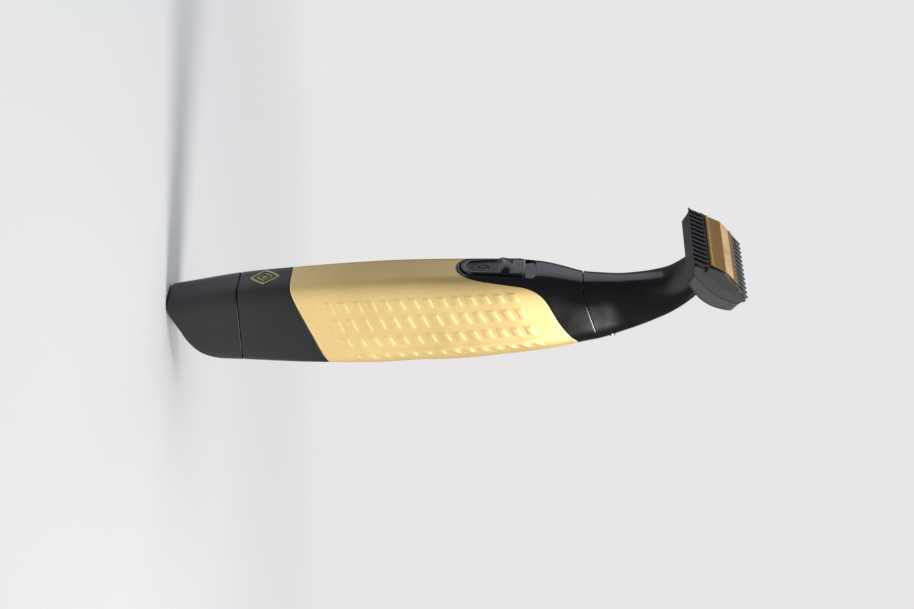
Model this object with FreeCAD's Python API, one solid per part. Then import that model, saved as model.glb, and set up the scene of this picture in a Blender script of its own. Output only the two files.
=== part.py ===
import FreeCAD, Part
import math
import os

# Slim cordless hair clipper: ribbed handle, leaning neck and a wide toothed head.
Vector = FreeCAD.Vector

# Driving dimensions, in mm. X is the width, -Y the front and +Z up along the handle.
axis_shift = 5.9            # moves the handle's axis back, so the origin is under the box's centre
cap_seam = 23.2             # height of the joint between end cap and lower housing
seam_gap = 0.3
sleeve_wall = 1.3
spigot_inset = 1.4          # the housings step in by this much under the sleeve
cavity_inset = 2.8
housing_joint = 88.6        # hidden joint of the two housings, under the sleeve
neck_top = 172.5

# Outline of the handle and neck: height, half width, front, back, squareness of the section.
stations = [
    (-4.0, 7.5, -9.6, 12.2, 4.5), (4.0, 7.8, -10.6, 12.4, 4.5), (23.3, 8.7, -13.3, 13.0, 5.0),
    (44.0, 9.1, -15.0, 14.3, 5.0), (66.5, 9.5, -16.2, 14.7, 5.0), (80.0, 9.5, -16.5, 14.1, 5.0),
    (93.6, 9.5, -16.4, 13.8, 5.0), (111.5, 9.25, -16.1, 12.4, 4.6), (120.5, 8.75, -15.5, 11.8, 4.0),
    (126.0, 8.3, -14.4, 11.3, 3.6), (133.1, 7.7, -12.5, 10.0, 3.1), (139.0, 7.1, -12.0, 9.0, 3.0),
    (145.0, 6.6, -11.7, 7.0, 3.0), (151.5, 6.75, -12.0, 4.4, 3.0), (156.5, 7.3, -12.5, 1.9, 3.0),
    (161.0, 8.0, -13.4, -0.8, 3.0), (165.6, 8.8, -15.7, -4.5, 3.0), (169.0, 9.2, -18.3, -7.8, 3.0),
    (172.5, 9.4, -21.0, -11.0, 3.0)]

# The head lies on a plane that faces forwards and up. "along" runs up its face, "out" away from it.
head_y = -19.9
head_z = 175.7
head_angle = math.radians(51.5)
head_half_width = 20.1
face_half = 10.65           # from the middle of the face to a tooth edge
roof_rise = 2.3             # the face rises to a low ridge along its middle
chamfer_start = 16.8        # half width of the comb's face, where its ends start to slope down
chamfer_low = -1.0          # height of the slope's foot, at the comb's full half width
face_thickness = 0.9
tooth_pitch = 2.87
tooth_gap = 1.25
gap_count = 14
window_half = 5.35
window_half_width = 16.7

# Drive
motor_y = -1.5
motor_radius = 5.5
motor_bottom = 99.0
motor_top = 118.0
shaft_radius = 0.75
running_clearance = 0.05
crank_throw = 0.8
crank_pin_radius = 0.5
fork_half_gap = 2.25
lever_pivot_y = -3.2
lever_pivot_z = 148.0
lever_half_width = 1.0

# Switch
switch_travel = 3.2
button_bottom = 94.6
button_top = 115.0
stem_bottom = 97.6
stem_top = 101.0
recess_y = -14.6
button_back_y = -14.9


def station_values(height, inset):
    """Half width, front, back and squareness at a height, with a smooth curve through the stations."""
    index = max(i for i in range(len(stations) - 1) if i == 0 or stations[i][0] <= height)
    low = stations[index]
    high = stations[index + 1]
    span = high[0] - low[0]
    part = (height - low[0]) / span
    values = []
    for column in range(1, 5):
        start_slope = slope_at(index, column)
        end_slope = slope_at(index + 1, column)
        values.append((2 * part**3 - 3 * part**2 + 1) * low[column]
                      + (part**3 - 2 * part**2 + part) * span * start_slope
                      + (3 * part**2 - 2 * part**3) * high[column]
                      + (part**3 - part**2) * span * end_slope)
    half_width, front, back, power = values
    return half_width - inset, front + inset, back - inset, power


def slope_at(index, column):
    """Slope of one column at a station, from its two neighbours."""
    before = stations[max(index - 1, 0)]
    after = stations[min(index + 1, len(stations) - 1)]
    return (after[column] - before[column]) / (after[0] - before[0])


def section_wire(half_width, front, back, power, height):
    """Closed section with flat sides and round corners: a superellipse."""
    centre = (front + back) / 2
    depth = (back - front) / 2
    count = 32
    points = []
    for step in range(count):
        angle = 2 * math.pi * (step + 0.5) / count
        across = math.cos(angle)
        deep = math.sin(angle)
        scale = (abs(across)**power + abs(deep)**power)**(-1 / power)
        points.append(Vector(half_width * across * scale, centre + depth * deep * scale, height))
    curve = Part.BSplineCurve()
    curve.interpolate(points, True)
    return Part.Wire(curve.toShape())


def tube_solid(bottom, top, inset):
    """Solid of the handle's outline, stepped in by inset, between two heights."""
    count = max(2, round((top - bottom) / 5) + 1)
    heights = [bottom + (top - bottom) * step / (count - 1) for step in range(count)]
    wires = [section_wire(*station_values(height, inset), height) for height in heights]
    return Part.makeLoft(wires, True, False)


def box(x, y, z):
    """Box from three (low, high) pairs."""
    return Part.makeBox(x[1] - x[0], y[1] - y[0], z[1] - z[0], Vector(x[0], y[0], z[0]))


def rod(radius, start, end):
    """Cylinder between two points."""
    line = end.sub(start)
    return Part.makeCylinder(radius, line.Length, start, line)


def outline_face(place, start, steps):
    """Face from a start point and steps: one point is a line, two points an arc (middle, end)."""
    edges = []
    here = place(*start)
    for step in steps:
        end = place(*step[-1])
        if len(step) == 1:
            edges.append(Part.makeLine(here, end))
        else:
            edges.append(Part.Arc(here, place(*step[0]), end).toShape())
        here = end
    edges.append(Part.makeLine(here, place(*start)))
    return Part.Face(Part.Wire(edges))


def side_prism(start, steps, half_width=40.0):
    """Prism across the width from an outline in side view, as (y, z) points."""
    face = outline_face(lambda y, z: Vector(-half_width, y, z), start, steps)
    return face.extrude(Vector(2 * half_width, 0, 0))


def front_prism(start, steps, front, back):
    """Prism through the depth from an outline in front view, as (x, z) points."""
    face = outline_face(lambda x, z: Vector(x, front, z), start, steps)
    return face.extrude(Vector(0, back - front, 0))


def head_point(along, out, x=0.0):
    """Point given in the head's own directions."""
    return Vector(x, head_y + along * math.cos(head_angle) - out * math.sin(head_angle),
                  head_z + along * math.sin(head_angle) + out * math.cos(head_angle))


def head_prism(start, steps, low_x, high_x):
    """Prism across the width from an outline in the head's directions, as (along, out) points."""
    face = outline_face(lambda along, out: head_point(along, out, low_x), start, steps)
    return face.extrude(Vector(high_x - low_x, 0, 0))


def head_box(along, out, x):
    """Box that lies square to the head's face."""
    return head_prism((along[0], out[0]), [[(along[1], out[0])], [(along[1], out[1])], [(along[0], out[1])]],
                      x[0], x[1])


def roof(along):
    """Height of the comb's face at a distance along it."""
    return roof_rise * (1 - abs(along) / face_half)


# Edges of the sleeve and of the neck, as prisms that hold everything on one side of the edge.

def below_sleeve(offset):
    """Everything under the sleeve's lower edge: level at the front, then rising to the back."""
    return side_prism((-40, -20), [[(-40, 40.1 + offset)], [(-13.5, 40.1 + offset)],
                                   [(-11.6, 40.5 + offset), (-9.6, 41.6 + offset)],
                                   [(30, 57.8 + offset)], [(30, -20)]])


def above_sleeve(offset):
    """Everything over the sleeve's upper edge: down the front corner, then rising to the back."""
    side = side_prism((-40, 200), [[(-40, 103.0 + offset)], [(-16.2, 103.0 + offset)],
                                   [(-15.0, 110.8 + offset), (-13.9, 114.8 + offset)],
                                   [(-12.0, 118.1 + offset), (-9.0, 120.9 + offset)],
                                   [(-4.5, 123.2 + offset), (0.2, 125.4 + offset)],
                                   [(30, 141.0 + offset)], [(30, 200)]])
    tongue = front_prism((-6.4, 96.0 + offset), [[(0, 92.8 + offset), (6.4, 96.0 + offset)],
                                                 [(8.4 - offset, 103.6)], [(8.4 - offset, 112)],
                                                 [(-8.4 + offset, 112)], [(-8.4 + offset, 103.6)]], -30, -10)
    return side.fuse(tongue)


def above_neck_seam(offset):
    """Everything over the seam of the neck: level at the front, then rising to the back."""
    return side_prism((-60, 133.1 + offset), [[(-10.5, 133.1 + offset)],
                                              [(-8.6, 133.3 + offset), (-6.8, 133.8 + offset)],
                                              [(40, 147.2 + offset)], [(40, 260)], [(-60, 260)]])


def behind_neck_line(offset):
    """Everything behind the line between the neck's front shell and rear cover."""
    return side_prism((6.2 + offset, 125), [[(4.4 + offset, 137.1)],
                                            [(-0.9 + offset, 151.1), (-6.5 + offset, 164.1)],
                                            [(-12.5 + offset, 176)], [(40, 176)], [(40, 125)]])


def above_base_face(offset):
    """Everything over the slanted base, with a tight front round and a wide back round."""
    return side_prism((-20, 3.6 + offset), [[(-10.9, 3.6 + offset)],
                                            [(-9.9, 0.9 + offset), (-7.6, 0.0 + offset)],
                                            [(-5.5, 0.25 + offset), (-3.6, 1.15 + offset)],
                                            [(5.4, 6.05 + offset)],
                                            [(9.7, 10.3 + offset), (12.2, 16.5 + offset)],
                                            [(13.3, 22.0 + offset)], [(20, 22.0 + offset)],
                                            [(20, 60)], [(-20, 60)]])


# Handle

def make_end_cap():
    outer = tube_solid(-3.5, cap_seam, 0).common(above_base_face(0))
    hollow = tube_solid(-3.5, cap_seam + 0.1, 1.6).common(above_base_face(2.0))
    socket_slot = box((-4.1, 4.1), (-5.5, -2.2), (-2, 8))
    screw_hole = rod(1.15, Vector(0, 6, 0), Vector(0, 6, 16))
    screw_recess = rod(2.1, Vector(0, 6, 0), Vector(0, 6, 7.9))
    return outer.cut(hollow).cut(socket_slot).cut(screw_hole).cut(screw_recess)


def make_cap_seal():
    return tube_solid(21.0, 22.0, 1.62).cut(tube_solid(20.9, 22.1, 2.15))


def make_lower_housing():
    skin = tube_solid(cap_seam + seam_gap, 58, 0).common(below_sleeve(-0.12))
    spigot = tube_solid(cap_seam + seam_gap, housing_joint - 0.1, spigot_inset)
    cap_spigot = tube_solid(19.0, cap_seam + seam_gap + 0.5, 1.75)
    seal_groove = tube_solid(20.9, 22.1, 1.0).cut(tube_solid(20.8, 22.2, 2.15))
    hollow = tube_solid(18.5, housing_joint + 0.5, cavity_inset)
    return skin.fuse([spigot, cap_spigot]).cut(hollow).cut(seal_groove).cut(make_front_emblem())


def make_upper_housing():
    skin = tube_solid(housing_joint, 141, 0).common(above_sleeve(0.12))
    spigot = tube_solid(housing_joint, 141, spigot_inset)
    hollow = tube_solid(housing_joint - 0.5, 127.0, cavity_inset)
    body = skin.fuse(spigot).cut(hollow).cut(above_neck_seam(0))
    body = body.cut(neck_socket(0.15, 126.5, 141))
    stem_slot = box((-1.5, 1.5), (-17, -12), (stem_bottom - 0.4, stem_top + switch_travel + 0.2))
    recess = switch_prism(5.0, 6.1, button_bottom - 0.7, button_top + switch_travel + 0.2, -25, recess_y)
    return body.cut(recess).cut(stem_slot)


def neck_socket(clearance, bottom, top):
    """Straight plug that holds the neck in the handle."""
    wire = section_wire(4.25 + clearance, -9.05 - clearance, 6.05 + clearance, 3.0, bottom)
    return Part.Face(wire).extrude(Vector(0, 0, top - bottom))


def make_grip_sleeve():
    skin = tube_solid(38, 136, 0).cut(tube_solid(37, 137, sleeve_wall))
    return skin.cut(below_sleeve(0)).cut(above_sleeve(0))


def make_front_emblem():
    """Generic lozenge ornament on the lower housing: a frame with a round boss."""
    middle = 31.7
    frame = front_prism((-4.6, middle), [[(0, middle + 4.9)], [(4.6, middle)], [(0, middle - 4.9)]], -25, -5)
    hole = front_prism((-3.4, middle), [[(0, middle + 3.6)], [(3.4, middle)], [(0, middle - 3.6)]], -26, -4)
    boss = rod(1.3, Vector(0, -25, middle), Vector(0, -5, middle))
    bar = box((-3.9, 3.9), (-25, -5), (middle - 0.35, middle + 0.35))
    skin = tube_solid(24, 40, -0.25).cut(tube_solid(23.9, 40.1, 0.4))
    return frame.cut(hole).fuse([boss, bar]).common(skin)


def make_chassis_frame():
    back_plate = box((-4.8, 4.8), (8.4, 9.4), (26, 96))
    low_shelf = box((-5.0, 5.0), (-5.2, 8.6), (29.0, 30.2))
    high_shelf = box((-5.0, 5.0), (-5.2, 8.6), (76.5, 77.7))
    screw_boss = rod(2.2, Vector(0, 6, 22), Vector(0, 6, 29.1))
    screw_hole = rod(1.0, Vector(0, 6, 21), Vector(0, 6, 30.25))
    ribs = [box((x - 0.5, x + 0.5), (-2.0, 8.6), (77.6, 88)) for x in (-4.2, 4.2)]
    return back_plate.fuse([low_shelf, high_shelf, screw_boss] + ribs).cut(screw_hole)


def make_battery_cell():
    body = rod(5.1, Vector(0, 3.2, 31.0), Vector(0, 3.2, 74.7))
    return body.fuse(rod(2.0, Vector(0, 3.2, 74.6), Vector(0, 3.2, 75.5)))


def make_cell_contacts():
    low = box((-4, 4), (-2.2, 6.5), (30.4, 30.9))
    high = box((-4, 4), (-2.2, 6.5), (75.6, 76.1))
    return Part.makeCompound([low, high])


def make_cell_leads():
    return Part.makeCompound([rod(0.2, Vector(3, -5.35, 30.65), Vector(3, -2.25, 30.65)),
                              rod(0.2, Vector(-3, -5.35, 75.85), Vector(-3, -2.25, 75.85))])


def make_control_board():
    board = box((-5.2, 5.2), (-6.4, -5.4), (6.8, 96))
    chips = [box((-2.6, 2.6), (-7.6, -6.3), (40, 45.2)), box((-1.8, 1.8), (-7.3, -6.3), (56, 59)),
             box((1.2, 4.2), (-8.0, -6.3), (66, 70)), box((-4.2, -1.0), (-7.5, -6.3), (80, 84))]
    return board.fuse(chips)


def make_charging_socket():
    shell = box((-3.8, 3.8), (-5.3, -2.4), (6.6, 12.6))
    mouth = box((-3.3, 3.3), (-4.9, -2.8), (6.5, 11.8))
    tongue = box((-2.4, 2.4), (-4.1, -3.5), (7.4, 11.9))
    return shell.cut(mouth).fuse(tongue)


def make_cap_screw():
    pan = rod(1.9, Vector(0, 6, 6.7), Vector(0, 6, 7.9))
    cross = [box((-1.2, 1.2), (5.75, 6.25), (6.6, 7.2)), box((-0.25, 0.25), (4.8, 7.2), (6.6, 7.2))]
    shank = rod(1.0, Vector(0, 6, 7.8), Vector(0, 6, 30.0))
    return pan.fuse(shank).cut(cross)


# Motor and switch

def motor_rod(radius, bottom, top, offset=0.0):
    """Upright cylinder on the motor's axis, or beside it in the width."""
    return rod(radius, Vector(offset, motor_y, bottom), Vector(offset, motor_y, top))


def make_motor_can():
    outer = motor_rod(motor_radius, motor_bottom, motor_top)
    return outer.cut(motor_rod(motor_radius - 0.5, motor_bottom - 1, motor_top - 0.7)).cut(
        motor_rod(1.6, motor_top - 1, motor_top + 1))


def make_motor_magnets():
    ring = motor_rod(motor_radius - 0.5, 103, 114).cut(motor_rod(4.2, 102, 115))
    gap = box((-10, 10), (motor_y - 1.6, motor_y + 1.6), (102, 115))
    return ring.cut(gap)


def make_motor_end_cap():
    disc = motor_rod(motor_radius - 0.55, motor_bottom + 0.1, motor_bottom + 1.2)
    slots = [box((x - 0.5, x + 0.5), (motor_y - 0.5, motor_y + 0.5), (98, 101)) for x in (-3.0, 3.0)]
    return disc.cut(motor_rod(shaft_radius + running_clearance, 98, 101)).cut(slots)


def make_motor_terminals():
    return Part.makeCompound([box((x - 0.4, x + 0.4), (motor_y - 0.2, motor_y + 0.2), (97.2, 101.0))
                              for x in (-3.0, 3.0)])


def make_motor_leads():
    return Part.makeCompound([rod(0.35, Vector(x, -8.35, 97.7), Vector(x, motor_y - 0.25, 97.7))
                              for x in (-3.0, 3.0)])


def make_motor_bearing():
    return motor_rod(1.55, motor_top - 1.2, motor_top + 0.5).cut(
        motor_rod(shaft_radius + running_clearance, motor_top - 2, motor_top + 1))


def make_motor_mount():
    plate = tube_solid(motor_top + 0.6, motor_top + 2.0, cavity_inset + 0.1)
    return plate.cut(motor_rod(2.0, motor_top, motor_top + 3))


def make_rotor_shaft():
    return motor_rod(shaft_radius, 98.0, 121.5)


def make_rotor_core():
    core = motor_rod(3.9, 104, 113)
    slots = [box((-0.5, 0.5), (motor_y + 1.8, motor_y + 6), (103, 114)) for _ in range(3)]
    for step, slot in enumerate(slots):
        slot.rotate(Vector(0, motor_y, 0), Vector(0, 0, 1), 120 * step)
    commutator = motor_rod(1.6, 101.2, 104.1)
    return core.cut(slots).fuse(commutator).cut(motor_rod(shaft_radius, 100, 120))


def make_crank():
    disc = motor_rod(2.1, 120.5, 122.0).cut(motor_rod(shaft_radius, 120, 121.5))
    return disc.fuse(motor_rod(crank_pin_radius, 121.9, 126.2, crank_throw))


def make_switch_board():
    board = box((-4.5, 4.5), (-9.2, -8.4), (93, 108))
    pins = [rod(0.3, Vector(x, -8.5, 94.5), Vector(x, -6.45, 94.5)) for x in (-2.0, 0.0, 2.0)]
    return board.fuse(pins)


def make_switch_block():
    body = box((-3.6, 3.6), (-12.0, -9.25), (96, 105.4))
    return body.cut(box((-1.6, 1.6), (-13, -10.2), (97.2, 104.8)))


def switch_prism(low_half, high_half, bottom, top, front, back):
    """Prism with a round bottom and a slightly wider round top, for the recess and the button."""
    return front_prism((-low_half, bottom + low_half * 0.8),
                       [[(0, bottom), (low_half, bottom + low_half * 0.8)],
                        [(high_half, top - 1.6)], [(0, top), (-high_half, top - 1.6)]], front, back)


def make_switch_button():
    pad = switch_prism(4.5, 5.6, button_bottom, button_top, -25, button_back_y)
    pad = pad.common(tube_solid(90, 120, -0.6))
    pad_recess = switch_prism(3.4, 4.2, 96.0, 106.0, -25, -5).cut(tube_solid(89, 121, -0.15))
    finger_ridge = front_prism((-4.2, 106.4), [[(0, 109.4), (4.2, 106.4)], [(4.2, 107.6)],
                                               [(0, 110.6), (-4.2, 107.6)]], -25, button_back_y)
    finger_ridge = finger_ridge.common(tube_solid(90, 120, -1.7))
    stem = box((-1.3, 1.3), (button_back_y - 0.1, -13.0), (stem_bottom, stem_top))
    return pad.cut(pad_recess).fuse([finger_ridge, stem])


def make_switch_wiper():
    return box((-1.3, 1.3), (-12.95, -10.5), (stem_bottom + 0.3, stem_top - 0.3))


# Neck

def make_neck(front):
    """One of the two shells of the neck, with its bosses."""
    shell = tube_solid(130, neck_top, 0).cut(tube_solid(129, neck_top, 1.3)).cut(base_block())
    shell = shell.common(above_neck_seam(0.55))
    if not front:
        cover = shell.common(behind_neck_line(0.12))
        for x in (-3.6, 3.6):
            cover = cover.cut(rod(0.8, Vector(x, -2, 142), Vector(x, 20, 142)))
            cover = cover.cut(rod(1.5, Vector(x, 6.5, 142), Vector(x, 20, 142)))
        return cover
    plug = neck_socket(0, 127.6, 138.5).cut(neck_socket(-0.9, 127, 139))
    collar = tube_solid(134, 141, 0.6).common(above_neck_seam(0.6)).cut(above_neck_seam(1.6))
    collar = collar.cut(behind_neck_line(-0.2).fuse(neck_socket(-0.9, 127, 145)))
    body = shell.cut(behind_neck_line(0)).fuse([plug.cut(above_neck_seam(1.6)), collar])
    for x in (-3.6, 3.6):
        boss = rod(1.4, Vector(x, -10.9, 142), Vector(x, 3.0, 142))
        body = body.fuse(boss.common(tube_solid(139, 145, 0.4)))
        body = body.cut(rod(0.7, Vector(x, -7, 142), Vector(x, 6, 142)))
    body = body.fuse(rod(1.7, Vector(0, -11.2, lever_pivot_z), Vector(0, -5.6, lever_pivot_z)))
    return body.cut(rod(0.8, Vector(0, -9.6, lever_pivot_z), Vector(0, 8, lever_pivot_z)))


def make_neck_seal():
    ring = tube_solid(131, 141, 0.5).cut(neck_socket(0.05, 125, 145))
    return ring.common(above_neck_seam(0.1)).cut(above_neck_seam(0.5))


def make_lever_pin():
    return rod(0.8, Vector(0, -9.5, lever_pivot_z), Vector(0, -0.9, lever_pivot_z))


def make_neck_screws():
    screws = [rod(0.7, Vector(x, -1.5, 142), Vector(x, 6.55, 142)).fuse(
        rod(1.3, Vector(x, 6.5, 142), Vector(x, 7.2, 142))) for x in (-3.6, 3.6)]
    return Part.makeCompound(screws)


def make_drive_lever():
    half = 1.1
    bar = side_prism((motor_y - half, 127.0), [[(lever_pivot_y - half, 148)],
                                               [(-8.1, 158.5)], [(-13.9, 167.2)],
                                               [(-18.4, 173.4)], [(-16.8, 174.6)], [(-11.8, 167.0)],
                                               [(-5.9, 157.5)], [(lever_pivot_y + half, 148)],
                                               [(motor_y + half, 127.0)]], lever_half_width)
    bridge = box((-3.05, 3.05), (motor_y - 1.5, motor_y + 1.5), (126.5, 127.3))
    prongs = [box((x - 0.4, x + 0.4), (motor_y - 1.5, motor_y + 1.5), (122.5, 126.6))
              for x in (-fork_half_gap - 0.4, fork_half_gap + 0.4)]
    hub = rod(1.9, Vector(0, -5.2, lever_pivot_z), Vector(0, -1.2, lever_pivot_z))
    bore = rod(0.8 + running_clearance, Vector(0, -8, lever_pivot_z), Vector(0, 2, lever_pivot_z))
    return bar.fuse([bridge, hub] + prongs).cut(bore)


# Head

def base_block(inset=0.0, floor=0.0):
    """Outline of the head under the comb, with a curved underside."""
    return head_prism((-9.0 + inset, 2.0), [[(-9.0 + inset, -2.6)], [(-8.72 + inset, -5.9 + floor * 0.7)],
                                            [(-4.2 + inset * 0.4, -7.9 + floor), (0, -8.6 + floor)],
                                            [(4.6 - inset * 0.4, -7.85 + floor),
                                             (8.72 - inset, -5.9 + floor * 0.7)],
                                            [(9.0 - inset, -2.6)], [(9.0 - inset, 2.0)]],
                      -head_half_width + inset, head_half_width - inset)


def above_parting(offset):
    """Everything over the sagging line between comb cover and head base."""
    return head_prism((-30, -2.6 + offset), [[(-9.0, -2.6 + offset)],
                                             [(0, -4.35 + offset), (9.0, -2.6 + offset)],
                                             [(30, -2.6 + offset)], [(30, 30)], [(-30, 30)]], -40, 40)


def make_head_base():
    body = base_block().cut(base_block(1.5, 1.5)).cut(above_parting(-0.05))
    posts = [head_box((-6.0, 6.0), (-7.5, -4.6), (x - 2.0, x + 2.0)).common(base_block())
             for x in (-12.5, 12.5)]
    body = body.fuse(posts).cut(head_box((-3.4, 2.2), (-12, -6), (-3.2, 3.2)))
    for x in (-12.5, 12.5):
        body = body.cut(rod(0.85, head_point(0, -12, x), head_point(0, -3, x)))
        body = body.cut(rod(1.6, head_point(0, -12, x), head_point(0, -7.6, x)))
    return body


def make_head_screws():
    screws = []
    for x in (-12.5, 12.5):
        shank = rod(0.8, head_point(0, -7.6, x), head_point(0, -2.4, x))
        screws.append(shank.fuse(rod(1.45, head_point(0, -8.45, x), head_point(0, -7.6, x))))
    return Part.makeCompound(screws)


def make_blade_frame():
    frame = head_box((-7.0, 7.0), (-4.5, -1.8), (-17.2, 17.2))
    opening = head_box((-4.6, 4.6), (-6, 0), (-10.0, 10.0))
    body = frame.cut(opening)
    for x in (-12.5, 12.5):
        body = body.cut(rod(0.8, head_point(0, -6, x), head_point(0, -2.35, x)))
    return body


def make_fixed_blade():
    """Gold plate in the comb's window: a low roof with folded skirts and a bead along each long edge."""
    edge = 5.2
    top = roof(edge) + 0.35
    ridge = roof(0) + 0.35
    thick = 0.5
    roof_plate = head_prism((-edge, -1.8), [[(-edge, top)], [(0, ridge)], [(edge, top)], [(edge, -1.8)],
                                            [(edge - thick, -1.8)], [(edge - thick, top - thick)],
                                            [(0, ridge - thick)], [(thick - edge, top - thick)],
                                            [(thick - edge, -1.8)]], -16.5, 16.5)
    beads = [rod(0.4, head_point(side * (edge - 0.4), top - 0.12, -16.5),
                 head_point(side * (edge - 0.4), top - 0.12, 16.5)) for side in (-1, 1)]
    return roof_plate.fuse(beads)


def make_moving_blade():
    plate = head_box((-4.4, 4.4), (-1.5, -0.9), (-15.2, 15.2))
    pitch = 1.6
    count = 18
    for side in (-1, 1):
        for step in range(count):
            middle = (step - (count - 1) / 2) * pitch
            reach = sorted((side * 2.9, side * 5.0))
            plate = plate.cut(head_box(reach, (-2, 0), (middle - 0.4, middle + 0.4)))
    return plate


def make_blade_carrier():
    block = head_box((-2.6, 2.6), (-4.2, -1.5), (-4.0, 4.0))
    return block.cut(head_box((-1.9, 1.9), (-5, -2.0), (-lever_half_width - 0.2, lever_half_width + 0.2)))


def make_blade_spring():
    """Two flat springs on the frame that press the moving blade up."""
    return Part.makeCompound([head_box((-2.0, 2.0), (-1.78, -1.58), (x - 2.2, x + 2.2))
                              for x in (-12.5, 12.5)])


def comb_end_slope(side):
    """Everything over the slope at one end of the comb."""
    reach = head_half_width - chamfer_start
    fall = roof_rise - chamfer_low
    face = outline_face(lambda x, out: head_point(-15, out, side * x), (chamfer_start, roof_rise),
                        [[(chamfer_start + 2 * reach, roof_rise - 2 * fall)],
                         [(chamfer_start + 2 * reach, 6)], [(chamfer_start, 6)]])
    return face.extrude(head_point(30, 0).sub(head_point(0, 0)))


def make_comb_cover():
    tip = (face_half, 0.0)
    outer = head_prism((-face_half, 0), [[(-9.43, -1.3)], [(-8.97, -2.42)], [(-9.0, -2.6)], [(-9.0, -6)],
                                         [(9.0, -6)], [(9.0, -2.6)], [(8.97, -2.42)], [(9.43, -1.3)], [tip],
                                         [(0, roof_rise)]], -head_half_width, head_half_width)
    inner_side = 7.75
    under = roof(inner_side) - face_thickness
    inner = head_prism((-inner_side, -8), [[(-inner_side, under)], [(0, roof_rise - face_thickness)],
                                           [(inner_side, under)], [(inner_side, -8)]], -17.2, 17.2)
    lower = head_box((-inner_side, inner_side), (-8, -1.2), (-18.8, 18.8))
    body = outer.cut([inner, lower, comb_end_slope(-1), comb_end_slope(1)]).common(above_parting(0.05))
    body = body.cut(head_box((-window_half, window_half), (-2, 3), (-window_half_width, window_half_width)))
    for side in (-1, 1):
        for step in range(gap_count):
            middle = (step - (gap_count - 1) / 2) * tooth_pitch
            reach = sorted((side * 6.3, side * 12.0))
            body = body.cut(head_box(reach, (-0.75, 3), (middle - tooth_gap / 2, middle + tooth_gap / 2)))
    tabs = [head_box((-3.0, 3.0), (-5.2, -1.0), sorted((side * 17.5, side * 18.3))).fuse(
        head_box((-3.0, 3.0), (-1.6, -1.0), sorted((side * 17.5, side * 19.0)))) for side in (-1, 1)]
    return body.fuse(tabs)


nodes = {
    "end_cap": make_end_cap, "cap_seal": make_cap_seal, "lower_housing": make_lower_housing,
    "upper_housing": make_upper_housing, "grip_sleeve": make_grip_sleeve, "front_emblem": make_front_emblem,
    "chassis_frame": make_chassis_frame, "battery_cell": make_battery_cell,
    "cell_contacts": make_cell_contacts, "cell_leads": make_cell_leads,
    "control_board": make_control_board, "charging_socket": make_charging_socket,
    "cap_screw": make_cap_screw, "motor_can": make_motor_can, "motor_magnets": make_motor_magnets,
    "motor_end_cap": make_motor_end_cap, "motor_terminals": make_motor_terminals,
    "motor_leads": make_motor_leads, "motor_bearing": make_motor_bearing, "motor_mount": make_motor_mount,
    "rotor_shaft": make_rotor_shaft, "rotor_core": make_rotor_core, "crank": make_crank,
    "switch_board": make_switch_board, "switch_block": make_switch_block,
    "switch_button": make_switch_button, "switch_wiper": make_switch_wiper,
    "neck_front_shell": lambda: make_neck(True), "neck_rear_cover": lambda: make_neck(False),
    "neck_seal": make_neck_seal, "lever_pin": make_lever_pin, "neck_screws": make_neck_screws,
    "drive_lever": make_drive_lever, "head_base": make_head_base, "head_screws": make_head_screws,
    "blade_frame": make_blade_frame, "fixed_blade": make_fixed_blade, "moving_blade": make_moving_blade,
    "blade_carrier": make_blade_carrier, "blade_spring": make_blade_spring, "comb_cover": make_comb_cover}


def main():
    os.makedirs("parts", exist_ok=True)
    whole = FreeCAD.BoundBox()
    for name, make in nodes.items():
        shape = make()
        shape.translate(Vector(0, axis_shift, 0))
        shape.exportStep(f"parts/{name}.step")
        whole.add(shape.BoundBox)
        print(name, "solids", len(shape.Solids), "valid", shape.isValid(), "volume", round(shape.Volume, 1))
    print("box", [round(value, 2) for value in (whole.XMin, whole.XMax, whole.YMin, whole.YMax,
                                                whole.ZMin, whole.ZMax)])


main()
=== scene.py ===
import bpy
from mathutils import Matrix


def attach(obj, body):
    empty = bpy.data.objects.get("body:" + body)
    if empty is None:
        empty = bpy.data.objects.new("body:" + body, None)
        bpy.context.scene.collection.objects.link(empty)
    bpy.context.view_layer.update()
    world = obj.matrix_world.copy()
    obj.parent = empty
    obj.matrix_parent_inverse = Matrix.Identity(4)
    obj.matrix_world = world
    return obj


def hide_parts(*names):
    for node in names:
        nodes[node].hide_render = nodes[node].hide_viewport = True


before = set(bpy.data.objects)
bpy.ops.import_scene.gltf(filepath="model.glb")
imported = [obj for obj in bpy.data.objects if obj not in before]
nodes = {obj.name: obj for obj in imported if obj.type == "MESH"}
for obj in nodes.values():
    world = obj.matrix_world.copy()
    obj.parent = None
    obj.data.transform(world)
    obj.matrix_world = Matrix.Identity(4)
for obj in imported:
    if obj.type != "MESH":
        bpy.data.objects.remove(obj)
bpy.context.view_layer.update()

import math
import bpy
import numpy as np
from mathutils import Matrix, Vector

# Lengths are in millimetres up to metres(), which also moves the handle's axis to its place in the frame.
axisShift = 5.9


def metres(points):
    moved = np.array(points, float)
    moved[..., 1] += axisShift
    return moved * 0.001


# Camera first: the object stands, and the camera is rolled on its side, so it lies across the picture.
camera = {"azimuth": 60.0, "distance": 741.1, "height": 131.4, "pitch": 2.996, "yaw": 0.244, "roll": 1.113,
          "axisOffset": 0.9, "focal": 2308.3, "imageWidth": 914.0, "sensor": 36.0}


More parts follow.
